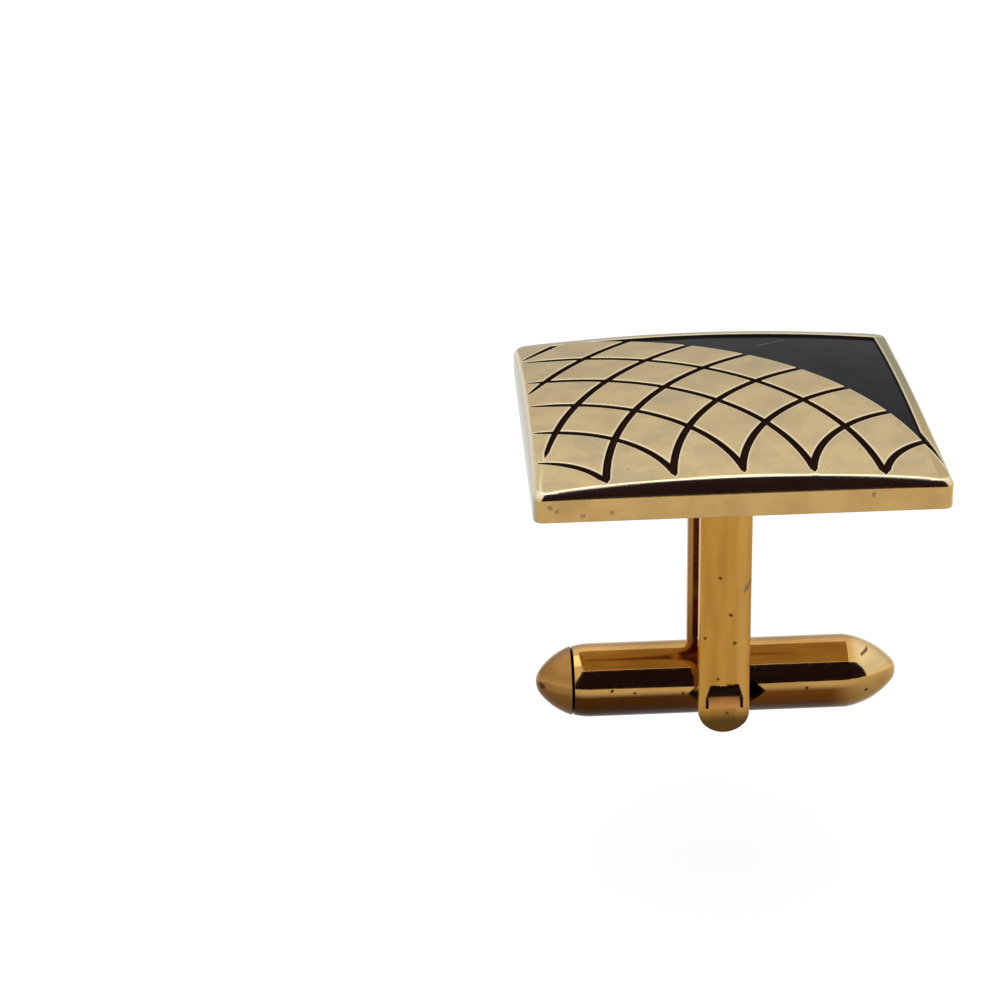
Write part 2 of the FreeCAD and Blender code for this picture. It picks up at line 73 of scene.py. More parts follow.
# Face: corners, wall, bevel and crown
CORNER = 0.5
WALL_HEIGHT = 1.16
BEVEL_LEAN = 0.284
CROWN_RADIUS = 91.6
EDGE_ROUND = 0.5
WALL_ROUND = 0.05
RIM_WALL = 0.9
RECESS_DEPTH = 0.6

# Lattice: the two points that its arcs are struck from, beyond the sides and before the front of the face
LEFT_OUT = 0.374
LEFT_FRONT = 0.969
LEFT_FIRST = 4.2
LEFT_ARCS = 5
RIGHT_OUT = 1.625
RIGHT_FRONT = 0.371
RIGHT_FIRST = 4.96
RIGHT_ARCS = 8
RIGHT_CORNER_GAP = 1.66
# How far the middle arcs stand beyond even steps
RIGHT_BOW = 0.6
FIELD_DEPTH = 7.7
BORDER_GAP = 0.294
LEFT_MARGIN = 0.36
FRONT_MARGIN = 0.36
RIM_WIDTH = 0.8
GROOVE_WIDTH = 0.35
GROOVE_DEPTH = 0.3
GROOVE_WALL = 0.03
LIP_ROUND = 0.035
LEAST_LIP = 0.1
# Gentle fall of each tile towards its grooves
PILLOW_REACH = 0.35
PILLOW_DROP = 0.016
# Stretches over which the grooves narrow to a point at their left and front ends
RUN_OUT = 1.4
FRONT_RUN_OUT = 0.5
# Distance from the left point at which the arc beside the left edge ends, and the stretch before it
SIDE_END = 4.71
SIDE_RUN_OUT = 0.6
# Where the groove along the border ends in the rim, beyond the tip of the enamel
TAIL_END = 9.75

# Mesh of the face: fine cells along a side, and the largest cell as a number of fine ones
CELLS = 640
LARGEST_CELL = 16
# Pairs of a distance from an edge and the largest cell within it
FINEST_REACH = 0.036
STEPS = ((FINEST_REACH, 1), (0.1, 2), (0.3, 4), (0.9, 8))
SLOPE_STEP = 0.01
# Grid points this close to an edge are drawn onto it, where the distance changes at least this steeply
DRAW_REACH = 0.0151
LEAST_STEEP = 0.5
DRAW_ROUNDS = 2
# A triangle is thin when the other cut gives more than this many times its area
THIN_RATIO = 4.0
# Values kept at the points of the face, and the distance that stands for any far one
FROM_ENAMEL = "from_enamel"
INTO_RIM = "into_rim"
FAR = 9.0

# Toggle: seam beside the cap, pivot, the pointed slot for the tabs, and the plunger's travel
SEAM = -7.665
PIVOT = 1.928
SLOT_MIDDLE = 0.29
SLOT_HALF = 1.95
SLOT_RISE = 0.975

# Shank: inner face of a leg, top and foot of the tab's bend, slits beside it and window above it
LEG_INSIDE = 2.52
BEND_TOP = 2.303
BEND_FOOT = 1.75
TAB_HALF = 0.825
SLIT_OUT = 0.955
WINDOW_TOP = 3.023
WINDOW_NARROWS = 0.3


def slopes(values, x, y):
    """How fast values over the plan change along X and along Y."""
    across = (values(x + SLOPE_STEP, y) - values(x - SLOPE_STEP, y)) / (2 * SLOPE_STEP)
    upright = (values(x, y + SLOPE_STEP) - values(x, y - SLOPE_STEP)) / (2 * SLOPE_STEP)
    return across, upright


class Face:
    """Relief of the face as a height over each point, in millimetres."""

    def __init__(self):
        low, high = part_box("face_plate")
        self.half_x = high.x / MM
        self.half_y = high.y / MM
        self.back = low.z / MM
        self.ball = high.z / MM - CROWN_RADIUS
        self.wall_top = self.back + WALL_HEIGHT
        self.left = (-self.half_x - LEFT_OUT, -self.half_y - LEFT_FRONT)
        self.right = (self.half_x + RIGHT_OUT, -self.half_y - RIGHT_FRONT)
        self.low = (LEFT_MARGIN - self.half_x, FRONT_MARGIN - self.half_y)
        self.high = (self.half_x - RIM_WIDTH, self.half_y - RIM_WIDTH)
        left_span = math.dist(self.left, self.high)
        right_span = math.dist(self.right, (self.low[0], self.high[1]))
        self.border = left_span - FIELD_DEPTH
        step = (self.border + BORDER_GAP - LEFT_FIRST) / LEFT_ARCS
        self.lefts = [LEFT_FIRST + step * i for i in range(LEFT_ARCS)]
        shares = [i / (RIGHT_ARCS - 1) for i in range(RIGHT_ARCS)]
        reach = right_span - RIGHT_CORNER_GAP - RIGHT_FIRST
        self.rights = [RIGHT_FIRST + reach * share + RIGHT_BOW * 4 * share * (1 - share) for share in shares]

    def crown(self, x, y):
        return self.ball + np.sqrt(CROWN_RADIUS ** 2 - x * x - y * y)

    def axis(self, point):
        """Direction from the ball's centre to the crown over a point."""
        height = math.sqrt(CROWN_RADIUS ** 2 - point[0] ** 2 - point[1] ** 2)
        return np.array((point[0], point[1], height)) / CROWN_RADIUS

    def from_axis(self, x, y, point):
        """Distance from the line between the ball's centre and the crown over a point."""
        way = self.axis(point)
        level = self.crown(x, y) - self.ball
        along = x * way[0] + y * way[1] + level * way[2]
        return np.sqrt(np.maximum(CROWN_RADIUS ** 2 - along ** 2, 0.0))

    def inset(self, x, y):
        """How far inside the outline a point lies, with the corner radius kept at every inset."""
        a = np.abs(x) - (self.half_x - CORNER)
        b = np.abs(y) - (self.half_y - CORNER)
        straight = CORNER - np.maximum(a, b)
        turn = (np.sqrt(np.maximum(2 * CORNER ** 2 - (a - b) ** 2, 0.0)) - a - b) / 2
        return np.where(np.abs(a - b) < CORNER, turn, straight)

    def edge_gap(self, x, y):
        """Height of the bevel, carried on, above the crown."""
        return self.wall_top + self.inset(x, y) / BEVEL_LEAN - self.crown(x, y)

    def run_out(self, x, y):
        """Share of their width that the grooves have, from their left and front ends inwards."""
        share = np.clip((x - self.low[0]) / RUN_OUT, 0.0, 1.0)
        front = np.clip((y - self.low[1]) / FRONT_RUN_OUT, 0.0, 1.0)
        return np.minimum(np.sqrt(share), front)

    def tail(self, x, from_left):
        """Distance from the groove that runs on along the border, narrowing into the rim."""
        share = np.clip((TAIL_END - x) / (TAIL_END - self.high[0]), -1.0, 1.0)
        half = GROOVE_WIDTH / 2
        away = np.abs(from_left - self.border - half) - half * share
        return np.where(x > self.high[0] - GROOVE_WIDTH, away, np.inf)

    def gold(self, x, y):
        """Distance from the enamel, below zero inside it; crossing arcs end where they meet in front."""
        from_left = self.from_axis(x, y, self.left)
        from_right = self.from_axis(x, y, self.right)
        half = GROOVE_WIDTH / 2 * self.run_out(x, y)
        grooves = self.border - from_left
        for i, radius in enumerate(self.lefts):
            stroke = np.abs(from_left - radius) - half
            beyond = self.rights[LEFT_ARCS - 1 - i] - half - from_right
            grooves = np.minimum(grooves, np.maximum(stroke, beyond))
        for i, radius in enumerate(self.rights):
            side = np.clip((from_left - SIDE_END) / SIDE_RUN_OUT, -1.0, 1.0) if i == LEFT_ARCS else 1.0
            stroke = np.abs(from_right - radius) - half * side
            if i < LEFT_ARCS:
                stroke = np.maximum(stroke, self.lefts[LEFT_ARCS - 1 - i] - half - from_left)
            grooves = np.minimum(grooves, stroke)
        across = np.maximum(self.low[0] - x, x - self.high[0])
        upright = np.maximum(self.low[1] - y, y - self.high[1])
        field = np.maximum(grooves, np.maximum(across, upright))
        return np.minimum(field, self.tail(x, from_left))

    def rim(self, x, y):
        """Distance into the plain rim along the right and the rear."""
        return np.maximum(x - self.high[0], y - self.high[1])

    def height(self, x, y):
        """Level of the surface: crown and bevel with a rounded edge, less lips, grooves and pillows."""
        crown = self.crown(x, y)
        bevel = crown + self.edge_gap(x, y)
        blend = np.maximum(EDGE_ROUND - np.abs(crown - bevel), 0.0) / EDGE_ROUND
        top = np.minimum(crown, bevel) - blend ** 2 * EDGE_ROUND / 4
        gold = self.gold(x, y)
        bend = LIP_ROUND * np.maximum(self.run_out(x, y), LEAST_LIP)
        reach = np.clip(bend - gold, 0.0, bend)
        lip = bend - np.sqrt(bend ** 2 - reach ** 2)
        deep = np.clip(-gold / GROOVE_WALL, 0.0, 1.0) * (GROOVE_DEPTH - bend)
        pillow = PILLOW_DROP * np.clip(1 - gold / PILLOW_REACH, 0.0, 1.0) ** 2
        return top - lip - deep - pillow * self.run_out(x, y)

    def normals(self, x, y):
        across, upright = slopes(self.height, x, y)
        way = np.stack((-across, -upright, np.ones(np.shape(x))), axis=-1)
        return way / np.linalg.norm(way, axis=-1, keepdims=True)

    def place(self, i, j):
        """Plan position of a grid point; the square corners of the grid are drawn in to the round ones."""
        x = (2 * i / CELLS - 1) * self.half_x
        y = (2 * j / CELLS - 1) * self.half_y
        a = np.maximum(np.abs(x) - (self.half_x - CORNER), 0.0)
        b = np.maximum(np.abs(y) - (self.half_y - CORNER), 0.0)
        long = np.hypot(a, b)
        draw = np.where((a > 0) & (b > 0), np.maximum(a, b) / np.maximum(long, TINY), 1.0)
        x = np.where(a > 0, np.sign(x) * (self.half_x - CORNER + a * draw), x)
        y = np.where(b > 0, np.sign(y) * (self.half_y - CORNER + b * draw), y)
        return x, y


def block(values, size, join):
    """Joins each square of size by size values into one."""
    count = len(values) // size
    return join(values.reshape(count, size, count, size), axis=(1, 3))


def spread(mask):
    """The mask grown by one cell on every side."""
    wide = np.pad(mask, 1)
    grown = np.zeros_like(mask)
    count = len(mask)
    for i in range(3):
        for j in range(3):
            grown |= wide[i:i + count, j:j + count]
    return grown


def split_cells(need):
    """For each cell size, which cells stay whole; neighbours differ by at most one halving."""
    splits = {}
    finer = None
    size = 2
    while size <= LARGEST_CELL:
        mask = block(need, size, np.min) < size
        if finer is not None:
            mask |= block(spread(finer), 2, np.any)
        splits[size] = mask
        finer = mask
        size *= 2
    whole = {LARGEST_CELL: ~splits[LARGEST_CELL]}
    size = LARGEST_CELL
    while size > 1:
        parent = splits[size].repeat(2, axis=0).repeat(2, axis=1)
        size //= 2
        whole[size] = parent & ~splits[size] if size > 1 else parent
    return whole


def needed_sizes(face):
    """Largest allowed cell at each fine cell, from its distance to a groove or to the crown's edge."""
    middle = np.arange(CELLS) + 0.5
    i, j = np.meshgrid(middle, middle, indexing="ij")
    x, y = face.place(i, j)
    outer = np.minimum(np.abs(face.edge_gap(x, y)), face.inset(x, y)) + FINEST_REACH
    near = np.minimum(np.abs(face.gold(x, y)), outer)
    need = np.full(near.shape, LARGEST_CELL)
    for reach, size in reversed(STEPS):
        need[near < reach] = size
    return need


def top_cells(whole):
    """Grid points in use, and the outline of each cell as grid points."""
    used = np.zeros((CELLS + 1, CELLS + 1), bool)
    corners = {}
    for size, mask in whole.items():
        i, j = np.nonzero(mask)
        corners[size] = np.stack((i * size, j * size), axis=1)
        for step_i in (0, size):
            for step_j in (0, size):
                used[i * size + step_i, j * size + step_j] = True
    outlines = []
    for size, starts in corners.items():
        half = size // 2
        for i, j in starts.tolist():
            loop = [(i, j), (i + half, j), (i + size, j), (i + size, j + half), (i + size, j + size)]
            loop += [(i + half, j + size), (i, j + size), (i, j + half)]
            if size == 1:
                outlines.append(loop[::2])
            else:
                outlines.append([p for k, p in enumerate(loop) if k % 2 == 0 or used[p]])
    return used, outlines


def draw_to_edges(face, x, y):
    """Moves the points close to a groove's edge, its foot or its lip onto it."""
    start = face.gold(x, y)
    goal = start
    for level in (-GROOVE_WALL, 0.0, GROOVE_WALL):
        goal = np.where(np.abs(start - level) < DRAW_REACH, level, goal)
    for _ in range(DRAW_ROUNDS):
        across, upright = slopes(face.gold, x, y)
        steep = np.maximum(across ** 2 + upright ** 2, LEAST_STEEP)
        move = (goal - face.gold(x, y)) / steep
        x = x + move * across
        y = y + move * upright
    return x, y


def cut_quads(points, gold, quads):
    """Each quad as two triangles, cut so that neither is thin, or else along the groove's edge."""
    a, b, c, d = quads.T

    def area(p, q, r):
        one = points[q] - points[p]
        other = points[r] - points[p]
        return one[:, 0] * other[:, 1] - one[:, 1] * other[:, 0]

    def triangles(first, second, chosen):
        return [np.stack(corners, axis=1)[chosen] for corners in (first, second)]

    by_ac = np.minimum(area(a, b, c), area(a, c, d))
    by_bd = np.minimum(area(a, b, d), area(b, c, d))
    along_ac = np.abs(gold[a] - gold[c]) < np.abs(gold[b] - gold[d])
    cut_ac = (by_ac > THIN_RATIO * by_bd) | (along_ac & (by_bd <= THIN_RATIO * by_ac))
    cuts = triangles((a, b, c), (a, c, d), cut_ac) + triangles((a, b, d), (b, c, d), ~cut_ac)
    return np.concatenate(cuts).tolist()


def border_points(used):
    """Grid points around the edge, in order."""
    ahead = range(CELLS)
    around = [(k, 0) for k in ahead] + [(CELLS, k) for k in ahead]
    around += [(CELLS - k, CELLS) for k in ahead] + [(0, CELLS - k) for k in ahead]
    return [p for p in around if used[p]]


def outline_normals(face, plan):
    """Level outward directions along the outline."""
    core = np.array((face.half_x - CORNER, face.half_y - CORNER))
    away = plan - np.clip(plan, -core, core)
    away = away / np.linalg.norm(away, axis=1, keepdims=True)
    return np.concatenate((away, np.zeros((len(plan), 1))), axis=1)


def side_levels(face, plan, outward):
    """Rings below the wall's top: down the wall, round its foot, across the rim and up into the recess."""
    down = np.tile((0.0, 0.0, -1.0), (len(plan), 1))
    slant = (outward + down) / math.sqrt(2)

    def ring(inset, level):
        return np.concatenate((plan - outward[:, :2] * inset, np.full((len(plan), 1), level)), axis=1)

    size = np.array((face.half_x, face.half_y))
    recess = ring(0.0, face.back)
    recess[:, :2] *= (size - RIM_WALL) / size
    roof = recess.copy()
    roof[:, 2] = face.back + RECESS_DEPTH
    cut = WALL_ROUND * (1 - math.sqrt(0.5))
    return (
        (ring(0.0, face.wall_top - WALL_ROUND), outward),
        (ring(0.0, face.back + WALL_ROUND), outward),
        (ring(cut, face.back + cut), slant),
        (ring(WALL_ROUND, face.back), down),
        (recess, down),
        (recess.copy(), -outward),
        (roof, -outward),
        (roof.copy(), down),
    )


def face_top(face):
    """Points, normals and faces of the crown and bevel, and the points around their edge in order."""
    used, outlines = top_cells(split_cells(needed_sizes(face)))
    number = np.full(used.shape, -1)
    number[used] = np.arange(used.sum())
    i, j = np.nonzero(used)
    x, y = draw_to_edges(face, *face.place(i.astype(float), j.astype(float)))
    points = np.stack((x, y, face.height(x, y)), axis=1)
    loops = [[number[p] for p in loop] for loop in outlines]
    quads = np.array([loop for loop in loops if len(loop) == 4])
    faces = [loop for loop in loops if len(loop) > 4] + cut_quads(points, face.gold(x, y), quads)
    ring = np.array([number[p] for p in border_points(used)])
    return points, face.normals(x, y), faces, ring


def face_mesh(face):
    """Mesh of the face plate, with the distances that its gilding goes by."""
    points, normals, faces, ring = face_top(face)
    plan = points[ring, :2]
    outward = outline_normals(face, plan)
    points[ring, 2] = face.wall_top
    inner = normals[ring] + outward
    normals[ring] = inner / np.linalg.norm(inner, axis=1, keepdims=True)
    all_points = [points]
    all_normals = [normals]
    start = len(points)
    last = ring
    for place, way in side_levels(face, plan, outward):
        this = start + np.arange(len(ring))
        start += len(ring)
        all_points.append(place)
        all_normals.append(way)
        faces += [list(quad) for quad in zip(last, this, np.roll(this, -1), np.roll(last, -1))]
        last = this
    faces.append(last[::-1].tolist())
    mesh = bpy.data.meshes.new("face_relief")
    mesh.from_pydata((np.concatenate(all_points) * MM).tolist(), [], faces)
    mesh.polygons.foreach_set("use_smooth", [True] * len(mesh.polygons))
    mesh.normals_split_custom_set_from_vertices(np.concatenate(all_normals).tolist())
    x, y = points[:, 0], points[:, 1]
    for name, values in ((FROM_ENAMEL, face.gold(x, y)), (INTO_RIM, face.rim(x, y))):
        everywhere = np.full(start, FAR)
        everywhere[:len(values)] = values
        mesh.attributes.new(name, "FLOAT", "POINT").data.foreach_set("value", everywhere)
    return mesh


def make_face(face):
    """The face plate with its relief, replacing the plain node."""
    piece = bpy.data.objects.new("face_relief", face_mesh(face))
    bpy.context.scene.collection.objects.link(piece)
    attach(piece, "root")
    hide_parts("face_plate")
    return piece


def make_spring(node):
    """The spring as a piece of its own in place of the node, carried with the toggle; the real spring
    shortens as the plunger slides.
    """
    piece = bpy.data.objects.new("spring_coil", node.data.copy())
    bpy.context.scene.collection.objects.link(piece)
    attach(piece, "toggle")
    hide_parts("detent_spring")
    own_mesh(piece)
    return piece


# Detail of cloudy values, their middle, and the ranges that give clouds of colour, polish and an even spread
SOFT_DETAIL = 2.0
FINE_DETAIL = 3.0
CLOUD_DETAIL = 4.0
RICH_DETAIL = 5.0
NOISE_MIDDLE = 0.5
CLOUDS = (0.35, 0.7)
POLISH = (0.3, 0.8)
EVEN = (0.3, 0.7)
# Axes that are kept when marks are placed from the front or from above
FROM_FRONT = (1.0, 0.0, 1.0)
FROM_ABOVE = (1.0, 1.0, 0.0)
# Share of a spot's radius within which it is full
SPOT_CORE = 0.4
# Raggedness of nicks and pits, and the size of its lumps
WOBBLE = 0.25
WOBBLE_SIZE = 0.2


class Graph:
    """Nodes of one material; a value is a number or another node's output."""

    def __init__(self, name):
        self.material = bpy.data.materials.new(name)
        self.material.use_nodes = True
        self.tree = self.material.node_tree
        self.shader = self.tree.nodes["Principled BSDF"]
        metres = self.node("ShaderNodeTexCoord").outputs["Object"]
        self.place = self.vector("SCALE", metres, Scale=1 / MM)
        self.across, self.deep, self.upright = self.parts(self.place)

    def put(self, socket, value):
        if isinstance(value, bpy.types.NodeSocket):
            self.tree.links.new(value, socket)
        else:
            socket.default_value = value

    def node(self, kind, settings=(), **inputs):
        made = self.tree.nodes.new(kind)
        for name, value in dict(settings).items():
            setattr(made, name, value)
        for name, value in inputs.items():
            self.put(made.inputs[name.replace("_", " ")], value)
        return made

    def math(self, operation, a, b=0.0):
        made = self.node("ShaderNodeMath", {"operation": operation})
        self.put(made.inputs[0], a)
        self.put(made.inputs[1], b)
        return made.outputs[0]

    def plus(self, a, b):
        return self.math("ADD", a, b)

    def minus(self, a, b):
        return self.math("SUBTRACT", a, b)

    def times(self, a, b):
        return self.math("MULTIPLY", a, b)

    def largest(self, a, b):
        return self.math("MAXIMUM", a, b)

    def unsigned(self, a):
        return self.math("ABSOLUTE", a)

    def less(self, a, b):
        """One where a is less than b, and none elsewhere."""
        return self.math("LESS_THAN", a, b)

    def vector(self, operation, a, b=None, **inputs):
        made = self.node("ShaderNodeVectorMath", {"operation": operation}, **inputs)
        self.put(made.inputs[0], a)
        if b is not None:
            self.put(made.inputs[1], b)
        scalar = operation in ("LENGTH", "DISTANCE", "DOT_PRODUCT")
        return made.outputs["Value" if scalar else "Vector"]

    def parts(self, vector):
        return self.node("ShaderNodeSeparateXYZ", Vector=vector).outputs[0:3]

    def attribute(self, name):
        """A value kept at the points of the mesh."""
        return self.node("ShaderNodeAttribute", {"attribute_name": name}).outputs["Fac"]

    def ramp(self, value, start, end, low=0.0, high=1.0):
        """Goes smoothly from low to high while the value goes from start to end."""
        made = self.node("ShaderNodeMapRange", {"interpolation_type": "SMOOTHSTEP"})
        for socket, setting in zip(made.inputs, (value, start, end, low, high)):
            self.put(socket, setting)
        return made.outputs["Result"]

    def mix(self, share, a, b):
        """Goes from colour a to colour b while the share goes from none to one."""
        made = self.node("ShaderNodeMix", {"data_type": "RGBA"})
        colours = [socket for socket in made.inputs if socket.type == "RGBA"]
        self.put(made.inputs[0], share)
        self.put(colours[0], a)
        self.put(colours[1], b)
        return [socket for socket in made.outputs if socket.type == "RGBA"][0]

    def noise(self, size, detail=SOFT_DETAIL, stretch=(1.0, 1.0, 1.0)):
        """Cloudy values whose lumps have a size in millimetres, longer where the stretch is larger."""
        squeeze = self.vector("DIVIDE", self.place, stretch)
        made = self.node("ShaderNodeTexNoise", Vector=squeeze, Scale=1 / size, Detail=detail)
        return made.outputs["Fac"]

    def pits(self, cell, radius, share):
        """Small round spots in a share of the cells of a given size."""
        made = self.node("ShaderNodeTexVoronoi", Vector=self.place, Scale=1 / cell)
        spot = self.ramp(made.outputs["Distance"], radius / cell, radius / cell * SPOT_CORE)
        chosen = self.less(self.parts(made.outputs["Color"])[0], share)
        return self.times(spot, chosen)

    def flat(self, keep):
        """Place as seen along the axis that isn't kept."""
        return self.vector("MULTIPLY", self.place, keep)

    def uneven(self, keep):
        """The same with a small wobble."""
        made = self.node("ShaderNodeTexNoise", Vector=self.place, Scale=1 / WOBBLE_SIZE, Detail=FINE_DETAIL)
        wobble = self.vector("SUBTRACT", made.outputs["Color"], (NOISE_MIDDLE, NOISE_MIDDLE, NOISE_MIDDLE))
        wobble = self.vector("SCALE", wobble, Scale=WOBBLE)
        return self.vector("MULTIPLY", self.vector("ADD", self.place, wobble), keep)

    def before(self, limit):
        """One in front of a limit along Y, and none behind it."""
        return self.less(self.deep, limit)

    def spots(self, places, radius):
        """Ragged spots at given points, seen from the front."""
        flat = self.uneven(FROM_FRONT)
        found = 0.0
        for place in places:
            spot = self.ramp(self.vector("DISTANCE", flat, place), radius, radius * SPOT_CORE)
            found = self.largest(found, spot)
        return found

    def scratch(self, flat, start, end, width):
        """A fine line from one point to another, over a flattened place."""
        begin = Vector(start)
        run = Vector(end) - begin
        away = self.vector("SUBTRACT", flat, begin)
        share = self.math("DIVIDE", self.vector("DOT_PRODUCT", away, run), run.length_squared)
        share = self.math("MINIMUM", self.largest(share, 0.0), 1.0)
        near = self.vector("SCALE", run, Scale=share)
        gap = self.vector("DISTANCE", away, near)
        return self.ramp(gap, width, 0.0)

    def bump(self, height, depth):
        """Relief of a depth in millimetres."""
        made = self.node("ShaderNodeBump", Height=height, Distance=depth * MM, Strength=1.0)
        self.put(self.shader.inputs["Normal"], made.outputs["Normal"])

    def set(self, **inputs):
        for name, value in inputs.items():
            self.put(self.shader.inputs[name.replace("_", " ")], value)


def colour(red, green, blue):
    return (red, green, blue, 1.0)


# Back plate and plunger: bright and dull colour, roughness, share of pits and size of clouds
BACK_GILT = (colour(0.82, 0.58, 0.25), colour(0.72, 0.48, 0.18), 0.2, 0.1, 2.0)
BRASS = (colour(0.75, 0.55, 0.25), colour(0.6, 0.42, 0.18), 0.3, 0.05, 1.0)
GILT_PIT_CELL = 1.1
GILT_PIT_RADIUS = 0.1
GILT_PIT_ROUGH = 0.4
GILT_PIT_COLOUR = colour(0.05, 0.025, 0.01)
GILT_GRAIN = 0.25
GILT_GRAIN_RISE = 0.12
GILT_RELIEF = 0.012
# Least and most of the roughness, as shares of the given one
GILT_SMOOTHER = 0.8
GILT_ROUGHER = 1.35


def gilt(name, bright, dull, rough, pit_share, lump):
    """Worn gilding: clouded colour, uneven polish and scattered pits."""
    g = Graph(name)
    base = g.mix(g.ramp(g.noise(lump, CLOUD_DETAIL), *CLOUDS), bright, dull)
    pits = g.pits(GILT_PIT_CELL, GILT_PIT_RADIUS, pit_share)
    base = g.mix(pits, base, GILT_PIT_COLOUR)
    grain = g.noise(GILT_GRAIN, FINE_DETAIL)
    wear = g.ramp(grain, *POLISH, rough * GILT_SMOOTHER, rough * GILT_ROUGHER)
    g.set(Base_Color=base, Metallic=1.0, Roughness=g.plus(wear, g.times(pits, GILT_PIT_ROUGH)))
    g.bump(g.minus(g.times(grain, GILT_GRAIN_RISE), pits), GILT_RELIEF)
    return g.material


# Face: upward share of the surface's direction, from the sides to the tiles
FACE_LEVEL = (0.4, 0.7)
TILE_CLOUD = 1.6
TILE_BRIGHT = colour(0.76, 0.57, 0.285)
TILE_DULL = colour(0.65, 0.485, 0.245)
# Haze and smudges on the tiles: size of lumps, range of the cloudy value and the shares that it gives
HAZE_SIZE = 2.4
HAZE = (0.48, 0.72, 0.0, 0.5)
HAZE_COLOUR = colour(0.50, 0.42, 0.275)
SMUDGE_SIZE = 0.5
SMUDGE = (0.6, 0.74, 0.0, 0.3)
SMUDGE_COLOUR = colour(0.38, 0.31, 0.20)
# Worn rim with a painted reflection that changes its colour from the right to the front and pales it at the
# rear: where it starts, its change from rear to front, and where the rear stretch starts
RIM_START = (-0.05, 0.1)
RIM_FORWARD = (3.0, -6.0)
RIM_REARWARD = (8.7, 9.0)
RIM_RIGHT_COLOUR = colour(0.39, 0.345, 0.19)
RIM_FRONT_COLOUR = colour(0.58, 0.43, 0.20)
RIM_REAR_REFLECTION_COLOUR = colour(0.66, 0.61, 0.46)
# Sides, with a painted reflection of glare that makes them paler where the surface turns to the left
SIDE_BRIGHT = colour(0.95, 0.61, 0.225)
SIDE_DULL = colour(0.80, 0.50, 0.18)
SIDE_LEFTWARD = (-0.5, -0.95)
SIDE_LEFT_GLARE_COLOUR = colour(0.60, 0.54, 0.40)
FACE_PIT_CELL = 1.4
FACE_PIT_RADIUS = 0.07
FACE_PIT_SHARE = 0.2
FACE_PIT_COLOUR = colour(0.12, 0.07, 0.03)
# Stains on the front wall
WALL_STAINS = ((-8.87, 0.0, 16.2), (-7.68, 0.0, 15.92), (-6.27, 0.0, 16.05), (-9.2, 0.0, 16.4),
               (6.1, 0.0, 16.5))
STAIN_RADIUS = 0.16
STAIN_SHARE = 0.8
STAIN_COLOUR = colour(0.45, 0.26, 0.09)
# Painted highlights on the lips beside the grooves and on the crest between crown and bevel
LIP_HIGHLIGHT_REACH = (0.13, 0.05, 0.0, 0.8)
CREST_HIGHLIGHT_START = (0.97, 0.85)
CREST_HIGHLIGHT_END = (0.35, 0.55)
HIGHLIGHT_COLOUR = colour(1.0, 0.86, 0.58)
GROOVE_REACH = (0.03, -0.005)
GROOVE_COLOUR = colour(0.022, 0.010, 0.005)
GROOVE_ROUGH = 0.3
FACE_GRAIN = 0.2
FACE_GRAIN_RISE = 0.06
FACE_GRAIN_ROUGH = (0.9, 1.12)
FACE_RELIEF = 0.01
FACE_SPECULAR = 0.15
SIDE_ROUGH = 0.13
TILE_ROUGH = 0.32


def face_gilt():
    """Champagne gilding, satin on the tiles and brighter and warmer on the sides."""
    g = Graph("face_gilt")
    sideways, _, facing = g.parts(g.node("ShaderNodeNewGeometry").outputs["Normal"])
    level = g.ramp(facing, *FACE_LEVEL)
    cloud = g.ramp(g.noise(TILE_CLOUD, RICH_DETAIL), *CLOUDS)
    tile = g.mix(cloud, TILE_BRIGHT, TILE_DULL)
    tile = g.mix(g.ramp(g.noise(HAZE_SIZE, FINE_DETAIL), *HAZE), tile, HAZE_COLOUR)
    tile = g.mix(g.ramp(g.noise(SMUDGE_SIZE, CLOUD_DETAIL), *SMUDGE), tile, SMUDGE_COLOUR)
    # Worn rim colour with a painted reflection: darker along the right, warmer at the front, paler at the
    # rear
    worn_and_reflection = g.mix(g.ramp(g.deep, *RIM_FORWARD), RIM_RIGHT_COLOUR, RIM_FRONT_COLOUR)
    worn_and_reflection = g.mix(g.ramp(g.deep, *RIM_REARWARD), worn_and_reflection, RIM_REAR_REFLECTION_COLOUR)
    tile = g.mix(g.ramp(g.attribute(INTO_RIM), *RIM_START), tile, worn_and_reflection)
    side = g.mix(cloud, SIDE_BRIGHT, SIDE_DULL)
    # Painted reflection of glare: the side is paler where it turns to the left
    side = g.mix(g.ramp(sideways, *SIDE_LEFTWARD), side, SIDE_LEFT_GLARE_COLOUR)
    base = g.mix(level, side, tile)
    pits = g.pits(FACE_PIT_CELL, FACE_PIT_RADIUS, FACE_PIT_SHARE)
    base = g.mix(pits, base, FACE_PIT_COLOUR)
    stains = g.times(g.spots(WALL_STAINS, STAIN_RADIUS), g.minus(STAIN_SHARE, level))
    base = g.mix(g.times(stains, g.before(0.0)), base, STAIN_COLOUR)
    gold = g.attribute(FROM_ENAMEL)
    # Painted highlights: cream on the lips beside the grooves and on the crest between crown and bevel
    lip = g.times(g.ramp(gold, *LIP_HIGHLIGHT_REACH), level)
    crest_highlight = g.times(g.ramp(facing, *CREST_HIGHLIGHT_START), g.ramp(facing, *CREST_HIGHLIGHT_END))
    base = g.mix(g.largest(lip, crest_highlight), base, HIGHLIGHT_COLOUR)
    groove = g.ramp(gold, *GROOVE_REACH)
    base = g.mix(groove, base, GROOVE_COLOUR)
    grain = g.noise(FACE_GRAIN, FINE_DETAIL)
    rough = g.ramp(level, 0.0, 1.0, SIDE_ROUGH, TILE_ROUGH)
    rough = g.times(rough, g.ramp(grain, *POLISH, *FACE_GRAIN_ROUGH))
    rough = g.plus(rough, g.times(groove, GROOVE_ROUGH))
    g.set(Base_Color=base, Metallic=g.minus(1.0, groove), Roughness=rough, Specular_IOR_Level=FACE_SPECULAR)
    g.bump(g.minus(g.times(grain, FACE_GRAIN_RISE), pits), FACE_RELIEF)
    return g.material
